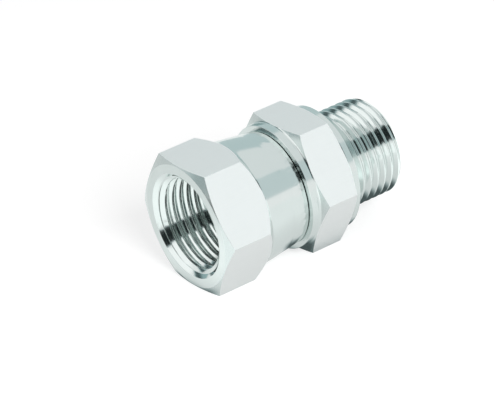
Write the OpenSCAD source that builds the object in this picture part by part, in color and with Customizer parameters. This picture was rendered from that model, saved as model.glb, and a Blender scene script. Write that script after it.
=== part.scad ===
// In-line swivel connector: a female pipe port and a male pipe thread on one axis, free to turn
// against each other on a full row of balls. The axis is X, with x = 0 where the female port's
// mouth chamfer ends, and the part lies on one flat of each hexagon.

/* [Hexagons] */
// Wall between the female port and the flats, which makes both hexagons 27 mm across
port_wall = 2.9725; // [2.4725:0.25:4.4725]
// Length of the female hexagon along its flats
female_hex_len = 11.8; // [9:0.1:13]
// Length of the male hexagon along its flats
male_hex_len = 8.8; // [7:0.1:12]
// Slope of the hexagons' corner chamfers, from the end face
corner_slope = 22; // [15:1:30]
// Slope of the cone behind the female hexagon, from the end face
rear_slope = 43; // [30:1:50]
// How far the front face is turned below the flats, on the radius
face_turn_down = 0.2; // [0.1:0.05:0.5]

/* [Pipe thread] */
// Largest diameter of the pipe thread
thread_d = 20.955; // [20:0.005:21.5]
// Pitch of the pipe thread
thread_pitch = 1.814; // [1.4:0.001:2.2]
// Slack between the female wall and a male thread, on the radius
thread_slack = 0.05; // [0.02:0.01:0.1]

/* [Female port] */
// Depth of the female port
port_depth = 13; // [11:0.1:16]
// Chamfer at the port's mouth
mouth_chamfer = 0.77; // [0.4:0.01:1.5]
// Thickness of the wall between the port and the swivel's bore
web_t = 1.2; // [0.8:0.1:2.5]
// Diameter of the flow passage
flow_d = 11; // [8:0.1:12]
// Chamfer at the edges of the flow passage
flow_chamfer = 0.4; // [0.1:0.1:0.7]

/* [Swivel bearing] */
// Clearance of the spigot in the bore, on the radius
running_gap = 0.05; // [0.02:0.01:0.1]
// Diameter of a bearing ball
ball_d = 2.381; // [1.8:0.001:2.6]
// Clearance of a ball in its race, on the radius
race_gap = 0.03; // [0.02:0.01:0.08]
// Wall of the skirt outside the ball race
race_wall = 1.3; // [0.8:0.05:1.6]
// How far the skirt is pressed in at the balls, below the front of the barrel
skirt_drop = 0.92; // [0.6:0.01:1.4]
// Thickness of the lip behind the balls
lip_t = 0.95; // [0.7:0.05:2]
// Taper of the pressed skirt
skirt_taper = 7.5; // [4:0.5:10]
// Distance from the ball row forward to where the skirt begins
skirt_lead = 1.6; // [1.2:0.1:3]
// Rounding at the skirt's end
skirt_round = 0.25; // [0.1:0.05:0.8]
// How far the barrel is turned below the flats, on the radius
barrel_turn_down = 0.08; // [0.05:0.01:0.3]

/* [Seals] */
// Thickness of the thrust washer
washer_t = 0.8; // [0.5:0.1:1.5]
// Clearance of the thrust washer in the bore and round the flow passage
washer_slack = 0.3; // [0.1:0.05:0.5]
// End play of the spigot against the thrust washer
end_play = 0.05; // [0.02:0.01:0.1]
// Length of the spigot's nose ahead of the seal groove
nose_len = 0.6; // [0.5:0.1:1.5]
// Chamfer at the spigot's nose
nose_chamfer = 0.4; // [0.1:0.05:0.45]
// Section of the stem seal before it is pressed
seal_section = 1.5; // [1.2:0.1:2]
// Thickness of the dust seal
dust_t = 1.15; // [0.8:0.05:1.5]
// Width of the dust seal, on the radius
dust_w = 0.65; // [0.4:0.05:1.2]
// Clearance of the dust seal inside the rim of its groove
dust_slack = 0.05; // [0.02:0.01:0.2]
// Share of the stem seal's section that is pressed flat
seal_squeeze = 0.12; // [0.05:0.01:0.2]
// Clearance of a seal from the face that it wipes
wipe_gap = 0.03; // [0.02:0.01:0.06]
// Thickness of the backup ring
backup_t = 0.6; // [0.4:0.1:1]
// Slack along the axis in the seal groove
groove_slack = 0.15; // [0.1:0.05:0.4]
// Land between the seal groove and the ball race
race_land = 0.4; // [0.3:0.05:1]

/* [Male stem] */
// Gap between the skirt's end and the collar
collar_gap = 0.2; // [0.1:0.05:0.6]
// Length of the collar
collar_len = 1.85; // [1.6:0.05:4]
// How far the collar and the shoulder are turned below the flats, on the radius
collar_turn_down = 0.1; // [0.05:0.01:0.4]
// Rounding of the collar's front edge and the shoulder's back edge
edge_round = 0.1; // [0.05:0.05:0.5]
// Height of the boss inside the dust groove above the bore
boss_step = 1; // [0.7:0.05:1.2]
// Length of the round shoulder behind the male hexagon
shoulder_len = 1.55; // [1:0.05:4]
// Length of the male end from its shoulder
male_len = 14; // [11:0.1:18]
// Width of the thread relief
relief_w = 2.7; // [2.4:0.1:4]
// Depth of the thread relief below the thread's root
relief_depth = 0.35; // [0.1:0.05:0.6]
// Depth of the end chamfer below the thread's root
end_chamfer_depth = 0.1; // [0:0.05:0.6]
// Flat left between the cone seat and the end chamfer
seat_land = 1.8; // [1:0.1:2.5]
// Angle across the cone seat
seat_angle = 60; // [50:5:90]

/* [Hidden] */
$fn = 96;
arc_steps = 6;
steel = "#cdd3d1";
ball_steel = "#b8bdbf";
rubber = "#1b1c1d";
plastic = "#e8e6df";

// Radii of the thread and the flow passage
thread_r = thread_d / 2;
thread_height = 0.6403 * thread_pitch;
root_r = thread_r - thread_height;
port_r = thread_r + thread_slack;
flow_r = flow_d / 2;

// Radii of the outside, from the flats to the corners and the turned parts
flat_r = port_r + port_wall;
corner_r = flat_r / cos(30);
blank_r = corner_r + 1;
face_r = flat_r - face_turn_down;
barrel_r = flat_r - barrel_turn_down;
collar_r = flat_r - collar_turn_down;

// Radii of the swivel, from the skirt inwards
skirt_r = barrel_r - skirt_drop;
ball_r = ball_d / 2;
race_r = ball_r + race_gap;
pitch_r = skirt_r - race_wall - race_r;
bore_r = pitch_r + running_gap / 2;
spigot_r = bore_r - running_gap;
boss_r = bore_r + boss_step;
dust_r = boss_r + dust_w;
ball_count = floor(180 / asin(ball_r / pitch_r));

// Radii of the male end
relief_r = root_r - relief_depth;
tip_r = root_r - end_chamfer_depth;
seat_r = tip_r - seat_land;
seat_depth = (seat_r - flow_r) / tan(seat_angle / 2);

// Stem seal as it lies, pressed flat
seal_t = seal_section * (1 - seal_squeeze);
seal_w = seal_section * (1 + seal_squeeze / 2);
wiped_r = bore_r - wipe_gap;
groove_r = wiped_r - seal_t;

// Places along the axis inside the female body, where zero is the front of the port's plain wall
face_x = -mouth_chamfer;
port_end_x = face_x + port_depth;
cavity_x = port_end_x + web_t;
nose_x = cavity_x + washer_t + end_play;
groove_x = nose_x + nose_len;
groove_len = seal_w + backup_t + groove_slack;
race_x = groove_x + groove_len + race_land + race_r;
skirt_x = race_x - skirt_lead;
skirt_end_x = race_x + race_r + lip_t;

// Places along the axis outside
barrel_x = face_x + female_hex_len;
collar_x = skirt_end_x + collar_gap;
dust_floor_x = skirt_end_x + wipe_gap + dust_t;
male_hex_x = collar_x + collar_len;
shoulder_x = male_hex_x + male_hex_len;
relief_x = shoulder_x + shoulder_len;
end_x = relief_x + male_len;

two_digits = function(n) n < 10 ? str("0", n) : str(n);
ball_name = function(i) str("ball_", two_digits(i + 1));
skirt_r_at = function(x) skirt_r - (x - race_x) * tan(skirt_taper);

// Points of an arc about a centre, each as radius and place along the axis
function arc(centre, r, from, to) = [
    for (i = [0 : arc_steps])
        let (a = from + (to - from) * i / arc_steps)
        centre + r * [cos(a), sin(a)]
];

// Turns a profile of radius and place along the axis about X
module turned()
    rotate([0, 90, 0])
    rotate_extrude()
    children();

// A plain hole along the axis
module drilled(r, from, to)
    translate([from, 0, 0])
    rotate([0, 90, 0])
    cylinder(h = to - from, r = r);

// A cone along the axis
module cone(r1, r2, from, to)
    translate([from, 0, 0])
    rotate([0, 90, 0])
    cylinder(h = to - from, r1 = r1, r2 = r2);

// Hexagon bar with a flat at the top and at the bottom
module hexagon_bar(from, to)
    translate([from, 0, 0])
    rotate([0, 90, 0])
    rotate([0, 0, 30])
    cylinder(h = to - from, r = corner_r, $fn = 6);

// Ring groove for the balls, shared by both halves
module ball_race()
    turned()
    translate([pitch_r, race_x])
    circle(r = race_r);

// A rubber ring's section, pressed flat across its thickness
module pressed_section(width, thickness)
    intersection() {
        circle(d = width, $fn = 48);
        square([width, thickness], center = true);
    }

// Outline of the female body, from its front face to the skirt's rounded end
module female_outline() {
    round_x = skirt_end_x - skirt_round;
    round_r = skirt_r_at(round_x) - skirt_round / cos(skirt_taper);
    polygon(concat(
        [
            [0, face_x],
            [face_r, face_x],
            [blank_r, face_x + (blank_r - face_r) * tan(corner_slope)],
            [blank_r, barrel_x - (blank_r - barrel_r) * tan(rear_slope)],
            [barrel_r, barrel_x],
            [skirt_r_at(skirt_x), skirt_x]
        ],
        arc([round_r, round_x], skirt_round, skirt_taper, 90),
        [[0, skirt_end_x]]
    ));
}

// Outline of the male stem, from the spigot's nose to the threaded end
module male_outline() {
    slope_w = (blank_r - collar_r) * tan(corner_slope);
    edge_r = collar_r - edge_round;
    polygon(concat(
        [
            [0, nose_x],
            [spigot_r - nose_chamfer, nose_x],
            [spigot_r, nose_x + nose_chamfer],
            [spigot_r, collar_x]
        ],
        arc([edge_r, collar_x + edge_round], edge_round, -90, 0),
        [
            [collar_r, male_hex_x],
            [blank_r, male_hex_x + slope_w],
            [blank_r, shoulder_x - slope_w],
            [collar_r, shoulder_x]
        ],
        arc([edge_r, relief_x - edge_round], edge_round, 0, 90),
        [
            [relief_r, relief_x],
            [relief_r, relief_x + relief_w - (thread_r - relief_r)],
            [thread_r, relief_x + relief_w],
            [thread_r, end_x - (thread_r - tip_r)],
            [tip_r, end_x],
            [0, end_x]
        ]
    ));
}

// Female half: hexagon, port, barrel and the skirt pressed over the balls
module female_body() color(steel) difference() {
    intersection() {
        turned() female_outline();
        hexagon_bar(face_x, skirt_end_x);
    }
    drilled(port_r, face_x - 1, port_end_x);
    cone(port_r + mouth_chamfer + 1, port_r, face_x - 1, 0);
    drilled(flow_r, 0, cavity_x + 1);
    cone(flow_r + flow_chamfer + 1, flow_r, port_end_x - 1, port_end_x + flow_chamfer);
    drilled(bore_r, cavity_x, skirt_end_x + 1);
    ball_race();
}

// Male half: spigot, collar, hexagon, shoulder and threaded end
module male_stem() color(steel) difference() {
    intersection() {
        turned() male_outline();
        hexagon_bar(nose_x, end_x);
    }
    drilled(flow_r, nose_x - 1, end_x + 1);
    cone(flow_r + flow_chamfer + 1, flow_r, nose_x - 1, nose_x + flow_chamfer);
    cone(flow_r, seat_r, end_x - seat_depth, end_x);
    turned() translate([groove_r, groove_x]) square([spigot_r, groove_len]);
    turned() translate([boss_r, collar_x - 1])
        square([dust_r + dust_slack - boss_r, dust_floor_x - collar_x + 1]);
    ball_race();
}

// Plastic washer between the spigot's nose and the wall behind the port
module thrust_washer() color(plastic)
    turned()
    translate([flow_r + flow_chamfer + washer_slack, cavity_x])
    square([bore_r - flow_r - flow_chamfer - 2 * washer_slack, washer_t]);

// Rubber ring in the spigot's groove, on the bore
module stem_seal() color(rubber)
    turned()
    translate([wiped_r - seal_t / 2, groove_x + groove_slack / 2 + seal_w / 2])
    rotate([0, 0, 90])
    pressed_section(seal_w, seal_t);

// Plastic ring that backs the rubber ring on the side of the balls
module backup_ring() color(plastic)
    turned()
    translate([groove_r, groove_x + groove_len - backup_t])
    square([wiped_r - groove_r, backup_t]);

// Rubber ring that fills the groove in the collar's face, against the skirt's end
module dust_seal() color(rubber)
    turned()
    translate([boss_r, dust_floor_x - dust_t])
    square([dust_w, dust_t]);

// One bearing ball of the full row
module ball(i) color(ball_steel)
    rotate([360 * i / ball_count, 0, 0])
    translate([race_x, 0, pitch_r])
    sphere(d = ball_d, $fn = 32);

female_body();
male_stem();
thrust_washer();
stem_seal();
backup_ring();
dust_seal();
for (i = [0 : ball_count - 1])
    ball(i);
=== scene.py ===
from math import asin, atan2, cos, degrees, pi, radians, sin, sqrt, tan

import bmesh
import bpy
from mathutils import Matrix, Vector


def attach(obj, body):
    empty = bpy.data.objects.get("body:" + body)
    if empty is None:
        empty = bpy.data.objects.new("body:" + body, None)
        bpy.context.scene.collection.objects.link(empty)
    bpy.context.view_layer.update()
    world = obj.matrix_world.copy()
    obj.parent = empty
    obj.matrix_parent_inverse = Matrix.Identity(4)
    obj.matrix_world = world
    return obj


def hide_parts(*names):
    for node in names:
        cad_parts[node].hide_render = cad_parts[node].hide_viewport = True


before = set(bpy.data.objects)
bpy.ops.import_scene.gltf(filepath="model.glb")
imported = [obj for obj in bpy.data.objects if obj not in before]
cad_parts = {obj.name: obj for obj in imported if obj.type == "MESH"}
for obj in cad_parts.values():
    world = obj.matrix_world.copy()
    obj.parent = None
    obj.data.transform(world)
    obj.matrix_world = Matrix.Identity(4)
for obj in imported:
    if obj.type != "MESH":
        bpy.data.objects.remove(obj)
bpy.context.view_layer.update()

# Sizes, in mm. Places along the axis are counted from the female body's front face.
MM = 0.001
FACE = -0.77
FLAT_R = 13.5
BLANK_R = FLAT_R / cos(radians(30)) + 1
CHAMFER_SLOPE = 22

THREAD_PITCH = 1.814
# Each thread's start along the axis, the lean of its flanks, and the bend of its crests and roots
MALE_THREAD = (1.63, 38, 0.25)
PORT_THREAD = (0.61, 36, 0.25)
PORT_THREAD_DEPTH = 0.898
THREAD_CLEAR = 0.05
THREAD_R = 10.4775
PORT_R = 10.5275
FLOW_R = 5.5
FLOW_CHAMFER = 0.4

PORT_DEPTH = 13.0
MOUTH_R = 11.2975
MOUTH_DEPTH = 0.77
LAND_R = 13.3
# Where the port's undercut starts, and its radius
UNDERCUT = (11.4, 10.62)
CAVITY_X = 14.2

BORE_R = 10.0045
SPIGOT_R = 9.9545
PITCH_R = 9.9795
RACE_R = 1.2205
RACE_X = 19.6105
SKIRT_END = 21.87
SKIRT_ROUND = 0.25
SKIRT_TAPER = 7.5
SKIRT_R = 12.5

NOSE_X = 15.05
# The seal groove's two walls and the radius of its floor
GROOVE = (15.65, 17.99, 8.6545)
COLLAR_X = 21.981
COLLAR_R = 13.4
BOSS_R = 11.0045
RIM_R = 11.7045
DUST_R = 11.6545
EDGE_ROUND = 0.1
FILLET = 0.45
GROOVE_FLOOR = 22.961
HEX_FRONT = 23.831
HEX_BACK = 32.631
SHOULDER_END = 34.181
# Where the thread relief ends, and its radius
RELIEF = (35.3695, 8.966)
MALE_END = 48.181
TIP_R = 9.216
SEAT_R = 7.416
SEAT_DEPTH = 3.319

# The hexagon's run-out and the barrel's slow taper, as places and radii
HEX_END = 11.8
HEX_END_R = 13.42
REAR_SLOPE = 43
BARREL = (
    (11.62, 13.59), (11.76, 13.50), (11.95, 13.445), (12.3, 13.40), (13.2, 13.33), (14.0, 13.26),
    (14.8, 13.17), (15.6, 13.07), (16.4, 12.96), (17.2, 12.84), (17.9, 12.735), (17.97, 12.715),
    (18.05, 12.712), (18.5, 12.65), (19.0, 12.585), (19.5, 12.52), (20.2, 12.43), (20.8, 12.352),
)
QUARTER = (0, 15, 30, 45, 60, 75, 90)

TURN_STEPS = 192
EDGE = 0.07
CUT_NEAR = 0.0001
WELD = 0.0005


def edit(piece):
    """Opens one piece for editing with everything in it selected."""
    bpy.ops.object.select_all(action="DESELECT")
    bpy.context.view_layer.objects.active = piece
    piece.select_set(True)
    bpy.ops.object.mode_set(mode="EDIT")
    bpy.ops.mesh.select_all(action="SELECT")


def done():
    """Closes the piece that is being edited."""
    bpy.ops.object.mode_set(mode="OBJECT")


def arc(place, radius, bend, start, end, steps):
    """Points of an arc round (place, radius); angles run from the axis, +X, towards outwards."""
    out = []
    for i in range(steps + 1):
        a = radians(start + (end - start) * i / steps)
        out.append((place + bend * cos(a), radius + bend * sin(a)))
    return out


def drawn_profile(name, points):
    """A line of (place, radius) points drawn point by point above the axis."""
    bpy.ops.object.select_all(action="DESELECT")
    bpy.ops.mesh.primitive_plane_add(size=MM)
    piece = bpy.context.active_object
    piece.name = piece.data.name = name
    edit(piece)
    bpy.ops.mesh.merge(type="CENTER")
    here = Vector((0, 0, 0))
    for i, (place, radius) in enumerate(points):
        there = Vector(((place + FACE) * MM, 0, radius * MM))
        step = {"value": there - here}
        if i == 0:
            bpy.ops.transform.translate(**step)
        else:
            bpy.ops.mesh.extrude_region_move(TRANSFORM_OT_translate=step)
        here = there
    bpy.ops.mesh.select_all(action="SELECT")
    bpy.ops.mesh.remove_doubles(threshold=WELD * MM)
    return piece


def turned(name, points):
    """A closed profile spun once round the axis."""
    piece = drawn_profile(name, points + points[:1])
    bpy.ops.mesh.select_all(action="SELECT")
    bpy.ops.mesh.spin(steps=TURN_STEPS, angle=2 * pi, center=(0, 0, 0), axis=(1, 0, 0))
    bpy.ops.mesh.select_all(action="SELECT")
    bpy.ops.mesh.remove_doubles(threshold=WELD * MM)
    bpy.ops.mesh.normals_make_consistent(inside=False)
    done()
    return piece


def thread_wave(crest_r, flank, bend):
    """One pitch of a thread with round roots and crests, from root to root."""
    lean = 90 - flank
    sharp = THREAD_PITCH / 2 / tan(radians(flank))
    depth = sharp - 2 * bend * (1 / sin(radians(flank)) - 1)
    root_r = crest_r - depth
    out = arc(0, root_r + bend, bend, -90, -90 + lean, 5)
    out += arc(THREAD_PITCH / 2, crest_r - bend, bend, 90 + lean, 90 - lean, 9)
    out += arc(THREAD_PITCH, root_r + bend, bend, -90 - lean, -90, 5)
    return out


def threaded_rod(name, crest_r, start, end, phase, flank, bend):
    """A solid rod with a right-hand thread, cut square at both ends; phase shifts the thread."""
    turns = int((end - start) / THREAD_PITCH) + 4
    first = (start // THREAD_PITCH - 2) * THREAD_PITCH + phase
    wave = [(first + x, r) for x, r in thread_wave(crest_r, flank, bend)]
    piece = drawn_profile(name, wave)
    done()
    screw = piece.modifiers.new("turns", "SCREW")
    screw.axis = "X"
    screw.angle = 2 * pi
    screw.screw_offset = THREAD_PITCH * MM
    screw.steps = screw.render_steps = TURN_STEPS
    screw.iterations = turns
    screw.use_merge_vertices = False
    bpy.ops.object.modifier_apply(modifier=screw.name)
    edit(piece)
    bpy.ops.mesh.remove_doubles(threshold=0.002 * MM)
    for place, outward in ((start, -1), (end, 1)):
        bpy.ops.mesh.select_all(action="SELECT")
        bpy.ops.mesh.bisect(
            plane_co=((place + FACE) * MM, 0, 0), plane_no=(outward, 0, 0),
            use_fill=True, clear_outer=True, threshold=CUT_NEAR * MM,
        )
    bpy.ops.mesh.select_all(action="SELECT")
    bpy.ops.mesh.normals_make_consistent(inside=False)
    done()
    return piece


def cut_flats(piece):
    """Cuts the six flats across the turned blank; flats lie at the top and the bottom."""
    edit(piece)
    for turn in range(6):
        a = radians(60 * turn)
        way = Vector((0, -sin(a), cos(a)))
        bpy.ops.mesh.select_all(action="SELECT")
        bpy.ops.mesh.bisect(
            plane_co=way * FLAT_R * MM, plane_no=way, use_fill=True, clear_outer=True,
            threshold=CUT_NEAR * MM,
        )
    done()


def flat_faces(mesh):
    """The faces that lie on one of the six flats."""
    found = []
    for face in mesh.polygons if hasattr(mesh, "polygons") else mesh.faces:
        way = face.normal
        middle = face.center if hasattr(mesh, "polygons") else face.calc_center_median()
        if abs(way.x) < 0.01 and abs(middle.dot(way) - FLAT_R * MM) < 0.003 * MM:
            if abs(cos(3 * atan2(way.y, way.z))) > 0.999:
                found.append(face)
    return found


def break_edges(piece):
    """Takes the sharpness off the edges round the flats."""
    edit(piece)
    bpy.ops.mesh.select_all(action="DESELECT")
    bpy.ops.mesh.select_mode(type="EDGE")
    mesh = bmesh.from_edit_mesh(piece.data)
    mesh.normal_update()
    flats = set(flat_faces(mesh))
    for side in mesh.edges:
        on_flat = any(face in flats for face in side.link_faces)
        if on_flat and len(side.link_faces) == 2 and side.calc_face_angle(0) > radians(12):
            side.select = True
    bmesh.update_edit_mesh(piece.data)
    bpy.ops.mesh.bevel(offset=EDGE * MM, segments=2, profile=0.5, clamp_overlap=True)
    bpy.ops.mesh.select_mode(type="VERT")
    bpy.ops.mesh.select_all(action="SELECT")
    bpy.ops.mesh.remove_doubles(threshold=0.001 * MM)
    bpy.ops.mesh.normals_make_consistent(inside=False)
    done()


def boolean(piece, tool, operation):
    """Cuts or joins a tool solid, which is then thrown away."""
    cut = piece.modifiers.new(operation.lower(), "BOOLEAN")
    cut.operation = operation
    cut.solver = "EXACT"
    cut.object = tool
    bpy.ops.object.select_all(action="DESELECT")
    bpy.context.view_layer.objects.active = piece
    piece.select_set(True)
    bpy.ops.object.modifier_apply(modifier=cut.name)
    bpy.data.objects.remove(tool)


def finish_surface(piece):
    """Merges stray points and gives each face its smooth or sharp border."""
    edit(piece)
    bpy.ops.mesh.remove_doubles(threshold=0.0008 * MM)
    bpy.ops.mesh.dissolve_degenerate(threshold=WELD * MM)
    bpy.ops.mesh.normals_make_consistent(inside=False)
    done()
    bpy.ops.object.shade_smooth_by_angle(angle=radians(17))
    weigh = piece.modifiers.new("weigh", "WEIGHTED_NORMAL")
    weigh.keep_sharp = True
    weigh.weight = 90
    bpy.ops.object.modifier_apply(modifier=weigh.name)


def hexagon_rise(start_x, start_r, towards):
    """The turned chamfer from a round part up to the blank, or down from it."""
    return start_x + towards * (BLANK_R - start_r) * tan(radians(CHAMFER_SLOPE))


def female_profile():
    """The female body's section, from the port's mouth outwards and round to the port."""
    round_x = SKIRT_END - SKIRT_ROUND
    round_r = SKIRT_R - (round_x - RACE_X) * tan(radians(SKIRT_TAPER))
    round_r -= SKIRT_ROUND / cos(radians(SKIRT_TAPER))
    race_lip = degrees(asin((BORE_R - PITCH_R) / RACE_R))
    points = [(0.06, MOUTH_R - 0.06), (0.02, MOUTH_R), (0, MOUTH_R + 0.06)]
    points += [(0, LAND_R - 0.03), (0.02, LAND_R + 0.03)]
    points += [(hexagon_rise(0, LAND_R, 1), BLANK_R)]
    points += [(HEX_END - (BLANK_R - HEX_END_R) * tan(radians(REAR_SLOPE)), BLANK_R)]
    points += list(BARREL)
    points += [
        (round_x + SKIRT_ROUND * sin(radians(a)), round_r + SKIRT_ROUND * cos(radians(a)))
        for a in (SKIRT_TAPER, 16, 25, 34, 43, 52, 61, 70, 80, 90)
    ]
    points += [(SKIRT_END, BORE_R + 0.15), (SKIRT_END - 0.15, BORE_R)]
    points += arc(RACE_X, PITCH_R, RACE_R, race_lip, 180 - race_lip, 16)
    points += [(CAVITY_X + 0.1, BORE_R), (CAVITY_X, BORE_R - 0.1)]
    points += [(CAVITY_X, FLOW_R + 0.05), (CAVITY_X - 0.05, FLOW_R)]
    points += [(PORT_DEPTH + FLOW_CHAMFER, FLOW_R), (PORT_DEPTH, FLOW_R + FLOW_CHAMFER)]
    points += [(PORT_DEPTH, UNDERCUT[1] - 0.2), (PORT_DEPTH - 0.06, UNDERCUT[1] - 0.06)]
    points += [(PORT_DEPTH - 0.2, UNDERCUT[1]), (UNDERCUT[0] + 0.35, UNDERCUT[1])]
    port_minor = PORT_R - PORT_THREAD_DEPTH + 0.03
    points += [(UNDERCUT[0] - UNDERCUT[1] + port_minor + 0.35, port_minor)]
    points += [(MOUTH_DEPTH + 0.4, port_minor), (MOUTH_DEPTH, MOUTH_R - MOUTH_DEPTH)]
    return points


def male_profile():
    """The male stem's section, from its nose along the outside to its far end."""
    race_lip = degrees(asin((PITCH_R - SPIGOT_R) / RACE_R))
    slope = radians(CHAMFER_SLOPE)
    points = [(NOSE_X + FLOW_CHAMFER, FLOW_R), (NOSE_X, FLOW_R + FLOW_CHAMFER)]
    points += [(NOSE_X, SPIGOT_R - 0.4), (NOSE_X + 0.4, SPIGOT_R)]
    points += [(GROOVE[0], SPIGOT_R), (GROOVE[0], GROOVE[2])]
    points += [(GROOVE[1], GROOVE[2]), (GROOVE[1], SPIGOT_R)]
    points += arc(RACE_X, PITCH_R, RACE_R, 180 + race_lip, 360 - race_lip, 16)
    points += [(COLLAR_X, SPIGOT_R), (COLLAR_X, BOSS_R), (GROOVE_FLOOR, BOSS_R)]
    points += [(GROOVE_FLOOR, RIM_R), (COLLAR_X + 0.05, RIM_R), (COLLAR_X, RIM_R + 0.05)]
    bend = EDGE_ROUND
    points += [
        (COLLAR_X + bend - bend * cos(radians(a)), COLLAR_R - bend + bend * sin(radians(a)))
        for a in QUARTER
    ]
    # Concave corner between the collar and the hexagon's chamfer
    bend = FILLET
    reach = bend * tan((pi / 2 - slope) / 2)
    for i in range(6):
        a = (pi / 2 - slope) * i / 5
        points.append((HEX_FRONT - reach + bend * sin(a), COLLAR_R + bend * (1 - cos(a))))
    points += [(hexagon_rise(HEX_FRONT, COLLAR_R, 1), BLANK_R)]
    points += [(hexagon_rise(HEX_BACK, COLLAR_R, -1), BLANK_R)]
    for i in range(6):
        a = (pi / 2 - slope) * (5 - i) / 5
        points.append((HEX_BACK + reach - bend * sin(a), COLLAR_R + bend * (1 - cos(a))))
    bend = EDGE_ROUND
    points += [
        (SHOULDER_END - bend + bend * sin(radians(a)), COLLAR_R - bend + bend * cos(radians(a)))
        for a in QUARTER
    ]
    points += [(SHOULDER_END, RELIEF[1] + 0.3), (SHOULDER_END + 0.09, RELIEF[1] + 0.09)]
    points += [(SHOULDER_END + 0.3, RELIEF[1]), RELIEF]
    over = THREAD_R + THREAD_CLEAR
    points += [(RELIEF[0] + over - RELIEF[1], over), (MALE_END - (over - TIP_R), over)]
    points += [(MALE_END - 0.03, TIP_R + 0.03), (MALE_END, TIP_R - 0.05)]
    points += [(MALE_END, SEAT_R + 0.04), (MALE_END - 0.06, SEAT_R - 0.02)]
    points += [(MALE_END - SEAT_DEPTH, FLOW_R)]
    return points


class Wire:
    """A value on its way through a shader, so that maths on it reads as maths."""

    def __init__(self, tree, socket):
        self.tree = tree
        self.socket = socket

    def maths(self, operation, *terms):
        return node(self.tree, "Math", {"operation": operation}, terms)

    def __add__(self, other):
        return self.maths("ADD", self, other)

    def __radd__(self, other):
        return self.maths("ADD", other, self)

    def __sub__(self, other):
        return self.maths("SUBTRACT", self, other)

    def __rsub__(self, other):
        return self.maths("SUBTRACT", other, self)

    def __mul__(self, other):
        return self.maths("MULTIPLY", self, other)

    def __rmul__(self, other):
        return self.maths("MULTIPLY", other, self)

    def __pow__(self, other):
        return self.maths("POWER", self, other)

    def __neg__(self):
        return self.maths("MULTIPLY", self, -1.0)

    def __abs__(self):
        return self.maths("ABSOLUTE", self)

    def rise(self, start, end):
        """0 below start, 1 above end, and a soft ramp between."""
        return node(
            self.tree, "MapRange", {"interpolation_type": "SMOOTHSTEP"},
            {"Value": self, "From Min": start, "From Max": end},
        )

    def band(self, start, end, soft):
        """1 between start and end, fading over soft on both sides."""
        return self.rise(start - soft, start + soft) * (1 - self.rise(end - soft, end + soft))


def node(tree, kind, settings=None, values=(), output=0):
    """Adds a shader node with its settings first, then its values or links."""
    made = tree.nodes.new("ShaderNode" + kind)
    for key, value in (settings or {}).items():
        setattr(made, key, value)
    pairs = values.items() if isinstance(values, dict) else enumerate(values)
    for key, value in pairs:
        if isinstance(value, Wire):
            tree.links.new(value.socket, made.inputs[key])
        elif value is not None:
            made.inputs[key].default_value = value
    return Wire(tree, made.outputs[output])


def mixed(tree, share, first, second):
    """One colour going over to another by share."""
    values = {0: share, 6: (*first, 1), 7: (*second, 1)}
    return node(tree, "Mix", {"data_type": "RGBA"}, values, 2)


def material(name, metallic, **constants):
    """A fresh material: its node tree, its surface shader and the object's coordinates."""
    made = bpy.data.materials.new(name)
    made.use_nodes = True
    tree = made.node_tree
    shader = tree.nodes["Principled BSDF"]
    shader.inputs["Metallic"].default_value = metallic
    for key, value in constants.items():
        shader.inputs[key.replace("_", " ")].default_value = value
    place = node(tree, "TexCoord", output=3)
    return made, tree, shader, place


def feed(shader, name, wire):
    """Links a wire to one of the surface shader's sockets."""
    wire.tree.links.new(wire.socket, shader.inputs[name])


def split(place, scale=1000.0):
    """The three coordinates of a place, in mm."""
    tree = place.tree
    parts = node(tree, "SeparateXYZ", {}, (place,))
    sockets = parts.socket.node.outputs
    return [Wire(tree, socket) * scale for socket in sockets]


def grain(place, stretch, size, detail=3.0, rough=0.55):
    """Noise stretched along the axes; size is that of its features in mm."""
    tree = place.tree
    moved = node(
        tree, "Mapping", {}, {"Vector": place, "Scale": [1000.0 * s for s in stretch]}
    )
    return node(
        tree, "TexNoise", {},
        {"Vector": moved, "Scale": 1.0 / size, "Detail": detail, "Roughness": rough},
    )


def bumped(shader, height, distance, strength=1.0):
    """Height, 0 to 1, to a bump of distance mm."""
    tree = height.tree
    bump = node(
        tree, "Bump", {}, {"Strength": strength, "Distance": distance * MM, "Height": height}
    )
    feed(shader, "Normal", bump)


def ring_lines(place, step):
    """Fine lines round the axis, as a turning tool leaves them."""
    tree = place.tree
    x, y, z = split(place)
    radius = (y * y + z * z) ** 0.5
    along = x * 0.8 + radius * 1.3
    spread = node(tree, "CombineXYZ", {}, (along,))
    return node(
        tree, "TexNoise", {"noise_dimensions": "3D"},
        {"Vector": spread, "Scale": 1.0 / step, "Detail": 2.0, "Roughness": 0.6},
    )


# Turned steel: the steps between the tool's marks, and its light and shaded colours
MARK_STEP = 0.07
LINE_STEP = 0.16
STEEL = (0.775, 0.832, 0.818)
STEEL_SHADE = (0.745, 0.805, 0.79)
# Darker copies of the steel's colours for the chamfers: painted shade on them
CHAMFER_PAINTED_SHADE = ((0.70, 0.76, 0.75), (0.67, 0.735, 0.725))
FLAT_STEEL = (0.862, 0.89, 0.885)
FLAT_SHADE = (0.848, 0.877, 0.872)

# How far the pressing marks reach from the skirt's end
PRESS_LEN = 3.6


def turned_steel(name, roughness, mark_depth, shades=None):
    """Stainless steel as it leaves the lathe; the fine marks spread light across them."""
    made, tree, shader, place = material(name, 1.0)
    lines = ring_lines(place, LINE_STEP)
    marks = ring_lines(place, MARK_STEP)
    cloud = grain(place, (1, 1, 1), 3.0)
    fine = grain(place, (1, 1, 1), 0.35)
    tone = lines * 0.35 + cloud * 0.65
    light, shade = shades or (STEEL, STEEL_SHADE)
    feed(shader, "Base Color", mixed(tree, tone.rise(0.3, 0.75), light, shade))
    feed(shader, "Roughness", roughness + lines * 0.06 + cloud * 0.05 - 0.05 + fine * 0.02)
    bumped(shader, marks, mark_depth)
    return made


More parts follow.
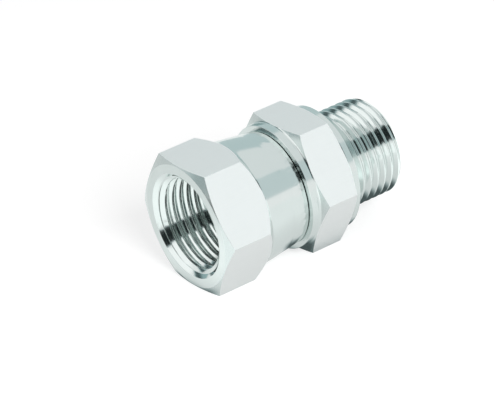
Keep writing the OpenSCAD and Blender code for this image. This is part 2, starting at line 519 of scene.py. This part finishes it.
def skirt_steel(name):
    """The barrel, with the soft dents that pressing its skirt leaves near the end, and painted
    shade of those dents in its colour.
    """
    made, tree, shader, place = material(name, 1.0)
    x, _, _ = split(place)
    pressed = x.rise(SKIRT_END + FACE - PRESS_LEN, SKIRT_END + FACE - 1.0)
    lines = ring_lines(place, LINE_STEP)
    marks = ring_lines(place, MARK_STEP)
    cloud = grain(place, (1, 1, 1), 3.0)
    dents = grain(place, (0.75, 1, 1), 1.7, 1.0, 0.4)
    # Painted shade of the pressed dents: noise that darkens the colour near the skirt's end, and
    # roughens it there
    painted_dent_shade = grain(place, (0.6, 1, 1), 1.1, 2.0, 0.5)
    tone = lines * 0.3 + cloud * 0.5 + painted_dent_shade.rise(0.45, 0.75) * pressed * 0.4
    feed(shader, "Base Color", mixed(tree, tone.rise(0.3, 0.85), STEEL, STEEL_SHADE))
    feed(shader, "Roughness", 0.13 + lines * 0.05 + cloud * 0.04 + painted_dent_shade * pressed * 0.1 - 0.04)
    bumped(shader, marks * 0.012 + dents * pressed, 0.25)
    return made


def drawn_steel(name):
    """The satin flats of drawn hexagon bar; their faint grain scatters a part of the light."""
    made, tree, shader, place = material(name, 0.5)
    streaks = grain(place, (0.06, 1, 1), 0.3, 3.0)
    cloud = grain(place, (1, 1, 1), 4.0)
    tone = streaks * 0.5 + cloud * 0.5
    feed(shader, "Base Color", mixed(tree, tone.rise(0.35, 0.7), FLAT_STEEL, FLAT_SHADE))
    feed(shader, "Roughness", 0.44 + streaks * 0.05 + cloud * 0.05 - 0.05)
    bumped(shader, streaks, 0.0008)
    return made


def ball_steel(name):
    """Bearing steel, ground and polished."""
    made, tree, shader, place = material(name, 1.0)
    cloud = grain(place, (1, 1, 1), 0.6)
    colour = mixed(tree, cloud, (0.70, 0.72, 0.73), (0.63, 0.65, 0.67))
    feed(shader, "Base Color", colour)
    feed(shader, "Roughness", 0.07 + cloud * 0.05)
    bumped(shader, cloud, 0.001)
    return made


def rubber(name):
    """Matt black seal rubber with a fine moulded skin."""
    made, tree, shader, place = material(name, 0.0, Specular_IOR_Level=0.4)
    cloud = grain(place, (1, 1, 1), 0.9)
    fine = grain(place, (1, 1, 1), 0.09)
    colour = mixed(tree, cloud, (0.010, 0.011, 0.012), (0.022, 0.023, 0.024))
    feed(shader, "Base Color", colour)
    feed(shader, "Roughness", 0.52 + fine * 0.16)
    bumped(shader, fine, 0.01)
    return made


def bearing_plastic(name):
    """Hard off-white plastic, turned to its size."""
    made, tree, shader, place = material(name, 0.0, Specular_IOR_Level=0.45)
    lines = ring_lines(place, 0.12)
    cloud = grain(place, (1, 1, 1), 2.0)
    colour = mixed(tree, cloud, (0.80, 0.79, 0.74), (0.70, 0.69, 0.63))
    feed(shader, "Base Color", colour)
    feed(shader, "Roughness", 0.4 + lines * 0.12)
    bumped(shader, lines, 0.006)
    return made


body_steel = turned_steel("turned_steel", 0.14, 0.003)
face_steel = turned_steel("faced_steel", 0.28, 0.0015)
# The chamfers' steel is darker turned steel: painted shade
chamfer_painted_shade_steel = turned_steel("chamfered_steel_painted_shade", 0.20, 0.0015, CHAMFER_PAINTED_SHADE)
thread_steel = turned_steel("thread_steel", 0.10, 0.003)
barrel_steel = skirt_steel("pressed_skirt_steel")
flat_steel = drawn_steel("drawn_flat_steel")
seal_rubber = rubber("seal_rubber_black")
washer_plastic = bearing_plastic("bearing_plastic_white")
polished_ball = ball_steel("polished_ball_steel")


def finish_steel(piece, zones):
    """Gives each face its finish: flats first, then the first zone that holds the face."""
    finishes = [body_steel, flat_steel] + [finish for finish, _ in zones]
    for finish in finishes:
        piece.data.materials.append(finish)
    mesh = piece.data
    for face in mesh.polygons:
        place = face.center.x / MM - FACE
        radius = sqrt(face.center.y ** 2 + face.center.z ** 2) / MM
        for i, (_, inside) in enumerate(zones):
            if inside(place, radius, face.normal):
                face.material_index = i + 2
                break
    for face in flat_faces(mesh):
        face.material_index = 1


# Limits of the zones that take a finish of their own, as places and radii
FRONT_END = 3
FRONT_CHAMFER_R = 13.2
FACE_IN_R = 10.9
PORT_OUT_R = 11.4
BARREL_IN_R = 11.3
MALE_THREAD_IN_R = 8.8
MALE_CHAMFER_R = 13.38

female = turned("female_body_turned", female_profile())
cut_flats(female)
break_edges(female)
tap = threaded_rod("port_tap", PORT_R, -0.9, UNDERCUT[0] + 0.3, *PORT_THREAD)
boolean(female, tap, "DIFFERENCE")
finish_surface(female)
finish_steel(female, [
    # Painted shade: the front chamfer takes the darker steel
    (chamfer_painted_shade_steel, lambda x, r, n: -0.96 < n.x < -0.88 and r > FRONT_CHAMFER_R and x < FRONT_END),
    (face_steel, lambda x, r, n: n.x < -0.9 and r > FACE_IN_R and x < FRONT_END),
    (thread_steel, lambda x, r, n: r < PORT_OUT_R and x < PORT_DEPTH + 0.5),
    (barrel_steel, lambda x, r, n: x > HEX_END and r > BARREL_IN_R),
])
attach(female, "female_half")
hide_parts("female_body")

male = turned("male_stem_turned", male_profile())
cut_flats(male)
break_edges(male)
SLEEVE_IN_R = 9.05
SLEEVE_OUT_R = 11.6
sleeve = turned("die_sleeve", [
    (RELIEF[0] - 0.3, SLEEVE_IN_R), (RELIEF[0] - 0.3, SLEEVE_OUT_R),
    (MALE_END + 0.8, SLEEVE_OUT_R), (MALE_END + 0.8, SLEEVE_IN_R),
])
rod = threaded_rod("die_rod", THREAD_R, RELIEF[0] - 1.0, MALE_END + 1.5, *MALE_THREAD)
boolean(sleeve, rod, "DIFFERENCE")
boolean(male, sleeve, "DIFFERENCE")
finish_surface(male)
finish_steel(male, [
    (
        thread_steel,
        lambda x, r, n: SHOULDER_END + 0.01 < x < MALE_END - 0.01 and r > MALE_THREAD_IN_R,
    ),
    # Painted shade: the hexagon's chamfers take the darker steel
    (chamfer_painted_shade_steel, lambda x, r, n: abs(n.x) > 0.9 and r > MALE_CHAMFER_R),
])
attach(male, "male_half")
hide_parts("male_stem")

wiper_front = SKIRT_END + 0.02
wiper = turned("dust_seal_ring", [
    (GROOVE_FLOOR, BOSS_R), (wiper_front + 0.2, BOSS_R), (wiper_front + 0.06, BOSS_R + 0.05),
    (wiper_front, BOSS_R + 0.17), (wiper_front, BOSS_R + 0.35), (wiper_front + 0.04, BOSS_R + 0.48),
    (wiper_front + 0.14, DUST_R - 0.06), (wiper_front + 0.25, DUST_R), (GROOVE_FLOOR, DUST_R),
])
finish_surface(wiper)
wiper.data.materials.append(seal_rubber)
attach(wiper, "male_half")
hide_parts("dust_seal")

# The stem seal's section is a circle pressed flat against the groove's floor and the bore
SEAL_WIDE = 1.59
SEAL_THICK = 1.32
SEAL_STEPS = 32
seal_x = GROOVE[0] + 0.075 + SEAL_WIDE / 2
seal_r = GROOVE[2] + SEAL_THICK / 2
section = []
for turn in range(SEAL_STEPS):
    a = 2 * pi * turn / SEAL_STEPS
    wide = SEAL_WIDE / 2 * cos(a)
    thick = max(-SEAL_THICK / 2, min(SEAL_THICK / 2, SEAL_WIDE / 2 * sin(a)))
    section.append((seal_x + wide, seal_r + thick))
ring = turned("stem_seal_ring", section)
finish_surface(ring)
ring.data.materials.append(seal_rubber)
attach(ring, "male_half")
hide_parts("stem_seal")

for name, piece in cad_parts.items():
    if name.startswith("ball_"):
        finish = polished_ball
    elif name in ("thrust_washer", "backup_ring"):
        finish = washer_plastic
    else:
        continue
    piece.data.materials.clear()
    piece.data.materials.append(finish)


# The studio: a white floor and a white tent, with the dark gaps that bright metal mirrors.
# The camera sees both as plain white, and only mirrored rays see the gaps.
FLOOR_Z = -13.5 * MM
FLOOR_RADIUS = 1.2
FLOOR_LEVEL = 0.94
FLOOR_COLOUR = (0.50, 0.50, 0.50, 1)
FLOOR_GLOW = 0.62
WHITE = (1, 1, 1)

bpy.ops.object.select_all(action="DESELECT")
bpy.ops.mesh.primitive_circle_add(
    vertices=96, radius=FLOOR_RADIUS, fill_type="NGON", location=(0.02, 0, FLOOR_Z)
)
floor = bpy.context.active_object
floor.name = "studio_floor"
bpy.ops.object.transform_apply(location=True, rotation=True, scale=True)


def ray_kinds(tree):
    """Whether a ray comes from the camera, a mirrored surface or through a clear one."""
    sockets = node(tree, "LightPath").socket.node.outputs
    kinds = ("Is Camera Ray", "Is Glossy Ray", "Is Transmission Ray")
    return [Wire(tree, sockets[kind]) for kind in kinds]


paper = bpy.data.materials.new("white_paper")
paper.use_nodes = True
tree = paper.node_tree
tree.nodes.clear()
is_camera, is_glossy, is_through = ray_kinds(tree)
floor_x, floor_y, _ = split(node(tree, "TexCoord", output=3))

# Painted dark far off on the left, standing for the table's end, in the glow that mirrors see
painted_dark_table_edge = (-floor_x).rise(70, 110) * floor_y.band(-25, 75, 10)

# Painted shadow of the object, in the glow that mirrors see: deep under the hexagon and the stem,
# softer near the object
below = (1 - abs(floor_y).rise(4.5, 8.5)) * floor_x.band(-1, 12, 1)
below = below + (1 - abs(floor_y).rise(6.5, 10.5)) * floor_x.band(20, 47, 1.5)
near = (1 - abs(floor_y).rise(6, 34)) * floor_x.band(-4, 52, 6) * 0.21

# Painted light in the glow that mirrors see: brighter past the male end and before the port, and
# painted shade, a little less, on the far left
beyond = floor_x.rise(44, 52) * (floor_y + floor_x * 0.4).rise(-8, 0)
beyond = beyond * (1 - floor_y.rise(20, 30)) * 0.55
front = (-floor_x).rise(-2, 12) * (1 - floor_y.rise(8, 22)) * 0.22
far_left = floor_y.rise(55, 85) * (-floor_x).rise(10, 30) * 0.12
far_left = far_left + floor_y.rise(12, 20) * (-floor_x).rise(3, 9) * 0.1

shade = (1 - painted_dark_table_edge * 0.9) * (1 - below * 0.85) * (1 - near) * (1 - far_left)
mirror_level = shade * (FLOOR_LEVEL + front + beyond)
# The painted shadow under the object also turns the mirrored glow blue-green there
mirror_tint = mixed(tree, below * 0.8, (0.97, 1.0, 0.995), (0.72, 0.98, 1.0))
mirrored = node(tree, "Emission", {}, {"Color": mirror_tint, "Strength": mirror_level})

lit = node(tree, "BsdfDiffuse", {}, {"Color": FLOOR_COLOUR})
glow = node(tree, "Emission", {}, {"Color": (*WHITE, 1), "Strength": FLOOR_GLOW})
seen = node(tree, "AddShader", {}, (lit, glow))
by_mirror = (is_glossy + is_through).rise(0.4, 0.6)
off_camera = node(tree, "MixShader", {}, (by_mirror, lit, mirrored))
whole = node(tree, "MixShader", {}, (is_camera, off_camera, seen))
out = tree.nodes.new("ShaderNodeOutputMaterial")
tree.links.new(whole.socket, out.inputs["Surface"])
floor.data.materials.append(paper)

TARGET = Vector((0.02, 0, 0))
TENT_LEVEL = 0.95
TENT_FILL = 0.45
SLIT_TURN = radians(57.8)
SLIT_TINT = (0.70, 1.0, 1.03)

world = bpy.data.worlds.new("tent")
bpy.context.scene.world = world
world.use_nodes = True
tree = world.node_tree
tree.nodes.clear()
is_camera, is_glossy, _ = ray_kinds(tree)
way = node(tree, "TexCoord", output=0)
wx, wy, wz = split(way, 1.0)

# Degrees round the object's axis, from straight up towards the camera's side
round_axis = (-wy).maths("ARCTAN2", -wy, wz) * (180 / pi)

# The slit between the tent's cloths, in the plane of the axis and the camera
across = -(wy * cos(SLIT_TURN) + wz * sin(SLIT_TURN))
towards = wz * cos(SLIT_TURN) - wy * sin(SLIT_TURN)
past_edge = abs(across + towards * 0.03 + 0.0425) - towards * 0.17
slit = 1 - past_edge.rise(0.128, 0.168)
slit_dark = 0.93 - wx.rise(-0.2, 0.5) * 0.67 + wx.rise(0.9, 0.96) * 0.6
slit_foot = round_axis.band(6, 40, 3) * wx.band(-0.6, -0.3, 0.05) * 0.9

# Greyer cloths behind and above, a dark corner at the back, and the dark line of the horizon
behind = round_axis.band(-110, -37, 2) * wx.rise(0.0, 0.3) * 0.32
over_top = round_axis.band(-37, 32, 2) * wx.rise(0.0, 0.3) * 0.13
corner_dark = 0.85 - wx.rise(-0.4, -0.25) * 0.35
corner = round_axis.band(-92, -25, 3) * wx.band(-0.5, 0.05, 0.04) * corner_dark
horizon = wz.band(-0.2, 0.1, 0.03) * wy.rise(0.25, 0.35) * (-wx).rise(0.45, 0.55)
horizon = horizon * (0.68 - wy.rise(0.5, 0.7) * 0.5)
slit_shade = slit * slit_dark
dark = slit_shade.maths("MAXIMUM", slit_shade, slit_foot)
dark = dark + behind + over_top + corner + horizon
left = round_axis.band(-57, 12, 6) * (1 - wx.rise(-0.62, -0.45)) * (1 - slit)

tent = TENT_LEVEL + left * 0.16 - dark
level = is_glossy * tent + (1 - is_glossy) * TENT_FILL
level = is_camera + (1 - is_camera) * level
tint = mixed(tree, dark.rise(0, 0.6) * is_glossy, WHITE, SLIT_TINT)
shine = node(tree, "Background", {}, {"Color": tint, "Strength": level})
out = tree.nodes.new("ShaderNodeOutputWorld")
tree.links.new(shine.socket, out.inputs["Surface"])


def softbox(name, way, distance, size, glow_level):
    """A square lamp that faces the object and isn't mirrored; glow_level is its brightness."""
    lamp = bpy.data.lights.new(name, "AREA")
    lamp.shape = "SQUARE"
    lamp.size = size
    lamp.energy = glow_level * pi * size * size
    holder = bpy.data.objects.new(name, lamp)
    bpy.context.collection.objects.link(holder)
    way = Vector(way).normalized()
    holder.location = TARGET + way * distance
    holder.rotation_euler = way.to_track_quat("Z", "Y").to_euler()
    holder.visible_glossy = False


softbox("key_softbox", (-0.74, 0.02, 0.67), 0.6, 0.34, 0.6)
softbox("side_softbox", (-0.12, -0.84, 0.53), 0.8, 0.40, 11.0)

# The camera, set by the pixel of one point on the axis and the hexagon's width in pixels there
AZIMUTH = radians(-32.2)
ELEVATION = radians(28.03)
ROLL = radians(-7.61)
FRAME_W, FRAME_H = 495, 400
PIVOT = Vector((0.907 + FACE, 0, 0)) * MM
PIVOT_PX = (189.12, 224.83)
HEX_WIDTH = 2 * FLAT_R * MM
HEX_WIDTH_PX = 134.82
WIDTH_TO_DISTANCE = 0.043
DISTANCE = HEX_WIDTH / WIDTH_TO_DISTANCE
PIXELS_PER_UNIT = HEX_WIDTH_PX / HEX_WIDTH * DISTANCE

back = Vector((sin(AZIMUTH) * cos(ELEVATION), -cos(AZIMUTH) * cos(ELEVATION), sin(ELEVATION)))
side = Vector((cos(AZIMUTH), sin(AZIMUTH), 0))
upward = back.cross(side)
right = side * cos(ROLL) + upward * sin(ROLL)
top = upward * cos(ROLL) - side * sin(ROLL)
look = -back
look = look + right * ((FRAME_W / 2 - PIVOT_PX[0]) / PIXELS_PER_UNIT)
look = look + top * ((PIVOT_PX[1] - FRAME_H / 2) / PIXELS_PER_UNIT)
look.normalize()
right = (right - look * right.dot(look)).normalized()
top = right.cross(look)

lens = bpy.data.cameras.new("camera")
camera = bpy.data.objects.new("camera", lens)
bpy.context.collection.objects.link(camera)
lens.sensor_width = 36
lens.lens = PIXELS_PER_UNIT / FRAME_W * lens.sensor_width
lens.clip_start = 0.01
lens.clip_end = 20
basis = Matrix((right, top, -look)).transposed().to_4x4()
camera.matrix_world = Matrix.Translation(PIVOT + back * DISTANCE) @ basis
bpy.context.scene.camera = camera

bpy.context.scene.view_settings.view_transform = "Standard"
